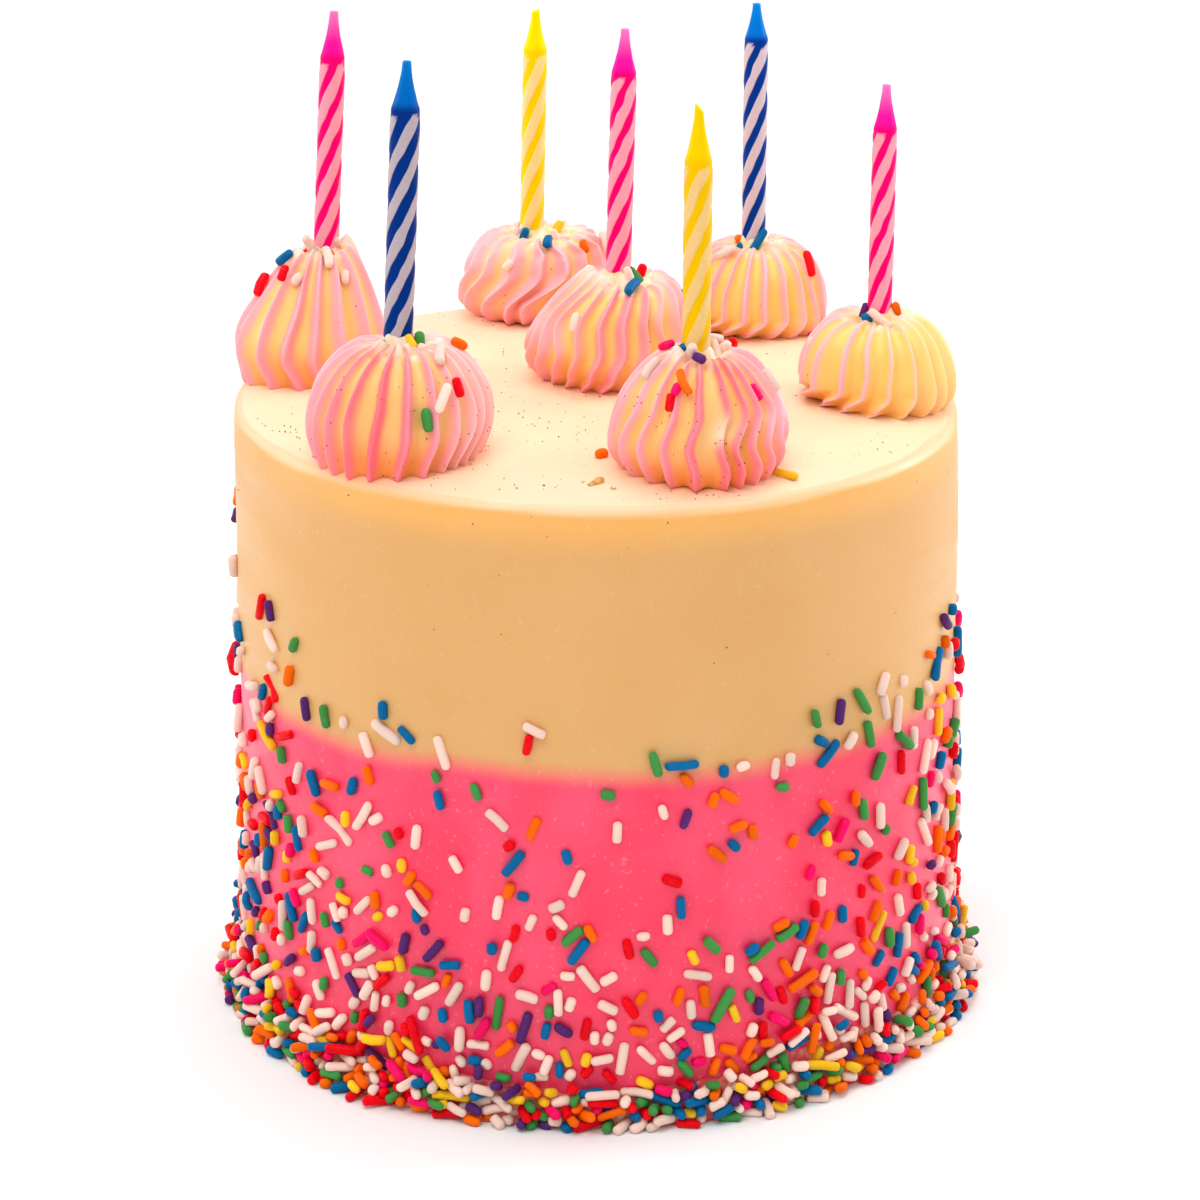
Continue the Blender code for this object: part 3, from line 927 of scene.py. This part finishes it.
def fill_heap(strands, rng):
    """Presses strands on the side within the heap, each as near the side as the others let it."""
    for _ in range(HEAP_TRIES):
        angle = pick_angle(rng)
        height = BORDER_HEIGHT * swell(angle + HEIGHT_TURN) * rng.uniform(0.06, 1.0)
        length, radius = pick_size(rng)
        point, out, right, up = wall_frame(angle, height)
        direction = tilted(rng.uniform(0, math.pi), rng.normal(0, 0.18), out, right, up)
        if height < abs(direction[2]) * (length / 2 - radius) + radius:
            continue
        limit = heap_reach(angle, height)
        for away in np.arange(0.75 * radius, limit + 0.0005, STEP):
            if strands.place(rng, point + away * out, direction, length, radius):
                break


def side_chance(angle, height):
    """How likely the side is to hold a strand at a place, 1 at the heap and less higher up."""
    aside = sideness(angle)
    top = 0.072 + (0.028 if math.cos(angle) < 0 else 0.016) * aside
    if height > top:
        return 0.0
    level = height / (0.030 + 0.022 * aside)
    return min(1.0, math.exp(-(level**1.6)) + 0.022 + 0.15 * aside * (1 - height / top))


# azimuth, height  of the middle of a crowd of strands on the side, in degrees and millimetres
# wide, tall       how far the crowd spreads round the cake and up it
# tries            how many strands are tried there, of which those that find room stay
Crowd = namedtuple("Crowd", "azimuth height wide tall tries")
CROWDS = [Crowd(*row) for row in (
    (-68, 40, 7, 8, 46), (-52, 33, 8, 7, 40), (-36, 28, 9, 5, 36), (-16, 27, 7, 4, 12),
    (24, 27, 8, 3, 10), (48, 30, 9, 4, 22), (68, 38, 6, 8, 26), (-24, 22, 8, 3, 34),
    (-6, 20, 8, 3, 40), (10, 20, 8, 3, 44), (27, 21, 8, 3, 40), (42, 23, 7, 3, 26),
    (-62, 69, 8, 6, 8), (-45, 72, 9, 4, 9), (-45, 53, 10, 5, 13), (-25, 50, 10, 9, 10),
    (-10, 74, 8, 2, 5), (0, 46, 12, 7, 5), (15, 63, 4, 6, 8), (35, 67, 6, 5, 9),
    (52, 64, 7, 9, 9), (42, 47, 10, 8, 9),
)]


def fill_crowds(strands, rng):
    """Sticks strands to the side in loose groups."""
    for crowd in CROWDS:
        for _ in range(crowd.tries):
            angle = FRONT + math.radians(rng.normal(crowd.azimuth, crowd.wide))
            height = MM * max(10.0, rng.normal(crowd.height, crowd.tall))
            stick_to_side(strands, rng, angle, height)


def stick_to_side(strands, rng, angle, height):
    """Adds a strand flat on the side if there is room."""
    length, radius = pick_size(rng)
    point, out, right, up = wall_frame(angle, height)
    direction = tilted(rng.normal(0, 0.75), rng.normal(0, 0.05), out, right, up)
    middle = point + rng.uniform(0.45, 0.9) * radius * out
    strands.place(rng, middle, direction, length, radius, 0.0)


def fill_side(strands, rng):
    """Sticks strands to the side above the heap, fewer the higher up."""
    for _ in range(SIDE_TRIES):
        angle = pick_angle(rng)
        height = rng.uniform(0.006, 0.108)
        if rng.uniform() <= side_chance(angle, height):
            stick_to_side(strands, rng, angle, height)


# How many strands are tried on each rosette, from the first to the seventh, all round it
ON_SKIN = (8, 5, 4, 4, 12, 4, 2)
BY_CANDLE = (9, 6, 7, 5, 7, 8, 5)
ON_TOP = 9  # strands on the cake's top, by the rosettes' feet
OFF_FOOT = (0.0015, 0.0050)  # how far those lie from a rosette's foot
CLEAR_OF_FOOT = 0.0014  # how near they may come to any other rosette
CLEAR_OF_EDGE = 0.004  # and to the edge of the top
PRESSED = 0.25  # how far strands on a rosette may press into each other, as a share of their size


def skin_frame(rings, azimuth, share):
    """A point on a rosette's skin, with the ways out, round to the right, and up the skin."""
    outside, inward = rosette_rows()
    row = int(np.argmin(np.abs(outside + inward - share)))
    away = rings[row] - rings[row].mean(0)
    apart = np.degrees(np.arctan2(away[:, 1], away[:, 0]) - FRONT) - azimuth
    column = int(np.argmin(np.abs((apart + 180) % 360 - 180)))
    span = COLUMNS_PER_FIN // 2
    right = rings[row, (column + span) % len(away)] - rings[row, column - span]
    up = rings[min(row + 2, len(rings) - 1), column] - rings[max(row - 2, 0), column]
    right, up = unit(right), unit(up)
    return rings[row, column], unit(np.cross(right, up)), right, up


def lift_onto(rings, middle, direction, out, length, radius):
    """Moves a strand's middle along `out` until the strand lies on the highest ridge under it."""
    away = rings.reshape(-1, 3) - middle
    along, above = away @ direction, away @ out
    aside = np.linalg.norm(away - np.outer(along, direction) - np.outer(above, out), axis=1)
    under = (np.abs(along) < 0.4 * length) & (aside < 0.6 * radius) & (np.abs(above) < 0.003)
    return middle + (above[under].max(initial=0) + 0.5 * radius) * out


def lay_on_skin(strands, rng, rings):
    """Lays one strand on a rosette's skin, more often near its rim."""
    point, out, right, up = skin_frame(rings, rng.uniform(-180, 180), 1 - 0.65 * rng.beta(1.0, 2.4))
    length, radius = pick_size(rng)
    direction = unit(tilted(rng.normal(0, 0.5), 0.0, out, right, up))
    out = unit(np.cross(np.cross(direction, out), direction))
    middle = lift_onto(rings, point, direction, out, length, radius)
    strands.place(rng, middle, direction, length, radius, PRESSED)


def stick_by_candle(strands, rng, rings):
    """Sticks one strand into the icing between a rosette's rim and its candle."""
    point = skin_frame(rings, rng.uniform(-180, 180), rng.uniform(1.1, 1.6))[0]
    length, radius = pick_size(rng)
    direction = unit(np.array((*rng.normal(0, 0.55, 2), 1.0)))
    middle = point + rng.uniform(0.1, 0.3) * length * direction
    strands.place(rng, middle, direction, length, radius, PRESSED)


def lay_on_top(strands, rng, skins):
    """Lays strands flat on the cake's top, each a little way off a rosette's foot."""
    feet = [(rings[0].mean(0), np.ptp(rings[0][:, 0]) / 2) for rings in skins]
    laid = 0
    while laid < ON_TOP:
        middle, reach = feet[rng.integers(len(feet))]
        angle = pick_angle(rng)
        away = reach + rng.uniform(*OFF_FOOT)
        x, y = middle[0] + away * math.cos(angle), middle[1] + away * math.sin(angle)
        clear = all(math.hypot(x - foot[0], y - foot[1]) > wide + CLEAR_OF_FOOT for foot, wide in feet)
        if not clear or math.hypot(x, y) > TOP_RADIUS - CLEAR_OF_EDGE:
            continue
        length, radius = pick_size(rng)
        heading = rng.uniform(0, math.pi)
        place = np.array((x, y, float(top_height(x, y)) + 0.75 * radius))
        direction = at(1.0, heading, 0.0)
        strands.add(place, direction, length, radius, pick_colour(rng))
        laid += 1


def dot_rosettes(strands, rng, skins):
    """Tries each rosette's strands, on its skin and then by its candle."""
    for rings, on_skin, by_candle in zip(skins, ON_SKIN, BY_CANDLE):
        for _ in range(on_skin):
            lay_on_skin(strands, rng, rings)
        for _ in range(by_candle):
            stick_by_candle(strands, rng, rings)


def strand_meshes(rows, rng):
    """(points, faces, shades) of joined strand meshes."""
    middles, directions = np.array([r[0] for r in rows]), np.array([r[1] for r in rows])
    lengths, radii = np.array([r[2] for r in rows]), np.array([r[3] for r in rows])
    count = len(rows)
    helper = np.where(np.abs(directions[:, 2:]) < 0.8, (0, 0, 1.0), (1.0, 0, 0))
    first = np.cross(directions, helper)
    first /= np.linalg.norm(first, axis=1, keepdims=True)
    second = np.cross(directions, first)
    bent = rng.normal(0, 0.055, (count, 1)) * lengths[:, None]
    blunt = rng.uniform(0.45, 1.0, count)
    turn = 2 * np.pi * np.arange(SIDES) / SIDES
    straight = np.maximum(lengths / 2 - radii * blunt, 0.0001)
    rings = []
    for side, cap, out in OUTLINE:
        along = side * (straight + cap * radii * blunt)
        uneven = 1 + rng.normal(0, 0.03, (count, SIDES))
        reach = out * radii[:, None] * uneven
        bend = bent * (1 - (along / (lengths / 2))[:, None] ** 2)
        middle = middles + along[:, None] * directions + bend * first
        ring = middle[:, None] + reach[..., None] * (
            np.cos(turn)[None, :, None] * first[:, None] + np.sin(turn)[None, :, None] * second[:, None]
        )
        rings.append(ring)
    rings = np.stack(rings, 1)
    ends = [middles + sign * (straight + radii * blunt)[:, None] * directions for sign in (-1, 1)]
    points = np.concatenate((rings.reshape(count, -1, 3), np.stack(ends, 1)), 1)
    per_strand = points.shape[1]
    ring_total = len(OUTLINE) * SIDES
    starts = (np.arange(count) * per_strand)[:, None, None]
    quads = (ring_faces(len(OUTLINE), SIDES)[None] + starts).reshape(-1, 4)
    low = (fan_faces(0, SIDES, ring_total, False)[None] + starts).reshape(-1, 3)
    high = (fan_faces(ring_total - SIDES, SIDES, ring_total + 1, True)[None] + starts).reshape(-1, 3)
    shades = np.repeat(rng.uniform(0, 1, count), per_strand)
    return points.reshape(-1, 3), [quads, low, high], shades


def add_sprinkle_pieces(strands):
    """One piece for each colour."""
    for number, colour in enumerate(SUGAR):
        rows = [row for row in strands.rows if row[4] == colour]
        rng = np.random.default_rng(500 + number)
        points, faces, shades = strand_meshes(rows, rng)
        piece = add_mesh(f"sprinkles_{colour}", points, faces, {"shade": shades})
        dress(piece, sugar_material(colour), "sprinkles")


def add_heap_core():
    """A low lumpy ring inside the heap, hidden by the strands on it."""
    columns = 200
    turn = 2 * np.pi * np.arange(columns) / columns
    rows = []
    for up, out in ((0.0, 0.55), (0.05, 0.50), (0.14, 0.34), (0.3, 0.18), (0.5, 0.05), (0.55, -0.15)):
        ring = []
        for angle in turn:
            height = up * BORDER_HEIGHT * swell(angle + HEIGHT_TURN)
            ring.append(at(float(side_radius(height)) + out * BORDER_WIDTH * swell(angle), angle, height))
        rows.append(ring)
    for up in (0.3, 0.0):
        rows.append([at(FOOT_RADIUS - 0.001, angle, up * BORDER_HEIGHT) for angle in turn])
    rings = np.array(rows)
    rings[1:5] += 0.00012 * waves(rings[1:5].reshape(-1, 3), 0.0016, 70).reshape(4, columns, 1)
    rings = np.concatenate((rings, rings[:1]))
    points = rings[:-1].reshape(-1, 3)
    faces = ring_faces(len(rings), columns) % len(points)
    core = add_mesh("sprinkle_core", points, [faces])
    # Painted shade: the core stands for the strands and the pink side deep in the heap, painted the darker
    # red that they show in the shade there.
    material = plain_material("core_sugar_in_shade", (0.72, 0.05, 0.07), (0.85, 0.30, 0.22), 0.0018, 0.6)
    dress(core, material, "sprinkles", "sprinkle_border")


SPECK = (0.26, 0.09, 0.02)
TOP_SPECKS = 1100
SIDE_SPECKS = 90
ROSETTE_SPECKS = (14, 150, 14, 14, 150, 14, 14)
CRUMB = (0.55, 0.26, 0.07)
CRUMB_PLACE = (0.0, -0.058)  # by the front rosettes
CRUMB_SIZES = (0.0030, 0.0012, 0.0009, 0.0008)  # the length of each, the first in the middle
CRUMB_SPREAD = (0.0030, 0.0012)  # how far the others lie from it, to the side and in depth


def speck_places(skins, rng):
    """Where flecks of vanilla show: on the cake's top, high on its side, and on the rosettes."""
    for _ in range(TOP_SPECKS):
        radius, angle = (TOP_RADIUS - 0.003) * math.sqrt(rng.uniform()), pick_angle(rng)
        x, y = radius * math.cos(angle), radius * math.sin(angle)
        if rng.uniform() < 0.5 * (1 - (x + y) / TOP_RADIUS):
            yield np.array((x, y, float(top_height(x, y))))
    for _ in range(SIDE_SPECKS):
        height = COLOUR_LINE + (CAKE_HEIGHT - EDGE_RADIUS - COLOUR_LINE) * rng.uniform() ** 0.5
        yield wall_frame(pick_angle(rng), height)[0]
    for rings, count in zip(skins, ROSETTE_SPECKS):
        for _ in range(count):
            yield rings[rng.integers(2, 38), rng.integers(rings.shape[1])]


def add_specks(skins):
    """Vanilla flecks, and the crumbs by the front rosettes."""
    rng = np.random.default_rng(40)
    rows = []
    for place in speck_places(skins, rng):
        direction = unit(rng.normal(size=3))
        size = rng.uniform(0.00005, 0.00012)
        rows.append((place, direction, 2.6 * size, size, ""))
    points, faces, shades = strand_meshes(rows, rng)
    specks = add_mesh("vanilla_specks", points, faces, {"shade": shades})
    darker = tuple(0.5 * c for c in SPECK)
    dress(specks, plain_material("vanilla", darker, SPECK, 0.002, 0.6), "cream_icing")
    rows = []
    for number, length in enumerate(CRUMB_SIZES):
        turn = rng.uniform(0, math.pi)
        x = CRUMB_PLACE[0] + CRUMB_SPREAD[0] * (number > 0) * rng.normal()
        y = CRUMB_PLACE[1] + CRUMB_SPREAD[1] * (number > 0) * rng.normal()
        radius = 0.0003 + 0.1 * length
        place = np.array((x, y, float(top_height(x, y)) + 0.4 * radius))
        rows.append((place, at(1.0, turn, 0.0), length, radius, ""))
    points, faces, shades = strand_meshes(rows, rng)
    points = points + 0.00018 * waves(points, 0.0009, 41)[:, None]
    crumbs = add_mesh("crumbs", points, faces, {"shade": shades})
    paler = tuple(min(1.0, 1.5 * c) for c in CRUMB)
    dress(crumbs, plain_material("crumb", CRUMB, paler, 0.0008, 0.7), "cream_icing")


def add_sprinkles(skins):
    strands = Strands()
    rng = np.random.default_rng(20)
    dot_rosettes(strands, rng, skins)
    lay_on_top(strands, rng, skins)
    fill_foot(strands, rng)
    fill_heap(strands, rng)
    fill_crowds(strands, rng)
    fill_side(strands, rng)
    add_sprinkle_pieces(strands)
    add_heap_core()


# --- Floor, light and camera ---

CAMERA_AT = Vector((0.00056, -0.75871, 0.34692))
CAMERA_AIM = Vector((0.00056, -0.00475, 0.07944))
CAMERA_ROLL = -0.0068
CAMERA_LENS = 124.47


def add_floor():
    mesh = bpy.data.meshes.new("floor")
    half = 4.0
    corners = [(-half, -half, 0), (half, -half, 0), (half, half, 0), (-half, half, 0)]
    mesh.from_pydata(corners, [], [(0, 1, 2, 3)])
    floor = bpy.data.objects.new("floor", mesh)
    bpy.context.scene.collection.objects.link(floor)
    nodes = Nodes("floor_white")
    mesh.materials.append(nodes.finish((0.9, 0.9, 0.9), 0.6, Specular_IOR_Level=0.1))


def add_area_light(name, place, aim, size, power):
    data = bpy.data.lights.new(name, "AREA")
    data.shape = "DISK"
    data.size = size
    data.energy = power
    light = bpy.data.objects.new(name, data)
    bpy.context.scene.collection.objects.link(light)
    light.location = place
    light.rotation_euler = (Vector(aim) - Vector(place)).to_track_quat("-Z", "Y").to_euler()
    return light


def add_lights():
    world = bpy.data.worlds.new("studio")
    bpy.context.scene.world = world
    world.use_nodes = True
    background = world.node_tree.nodes["Background"]
    background.inputs["Color"].default_value = (1.0, 1.0, 1.0, 1.0)
    background.inputs["Strength"].default_value = 0.72
    add_area_light("key", (-0.25, -0.55, 1.1), (0, 0, 0.08), 0.7, 5.2)
    add_area_light("top", (0.1, 0.25, 1.3), (0, 0, 0.08), 0.9, 6.0)
    add_area_light("left_back", (-1.1, 0.5, 0.5), (0, 0, 0.08), 0.6, 4.0)
    add_area_light("right_back", (1.1, 0.5, 0.5), (0, 0, 0.08), 0.6, 6.5)


def add_camera():
    data = bpy.data.cameras.new("camera")
    data.lens = CAMERA_LENS
    data.sensor_width = 36.0
    data.clip_start = 0.01
    camera = bpy.data.objects.new("camera", data)
    bpy.context.scene.collection.objects.link(camera)
    turned = (CAMERA_AIM - CAMERA_AT).to_track_quat("-Z", "Y").to_matrix().to_4x4()
    rolled = Matrix.Rotation(CAMERA_ROLL, 4, "Z")
    camera.matrix_world = Matrix.Translation(CAMERA_AT) @ turned @ rolled
    bpy.context.scene.camera = camera


def main():
    bpy.context.scene.view_settings.view_transform = "Standard"
    add_coat()
    for number, look in enumerate(CANDLES, 1):
        add_candle(number, look)
    skins = [add_rosette(number, *look) for number, look in enumerate(ROSETTES, 1)]
    add_sprinkles(skins)
    add_specks(skins)
    add_floor()
    add_lights()
    add_camera()


main()
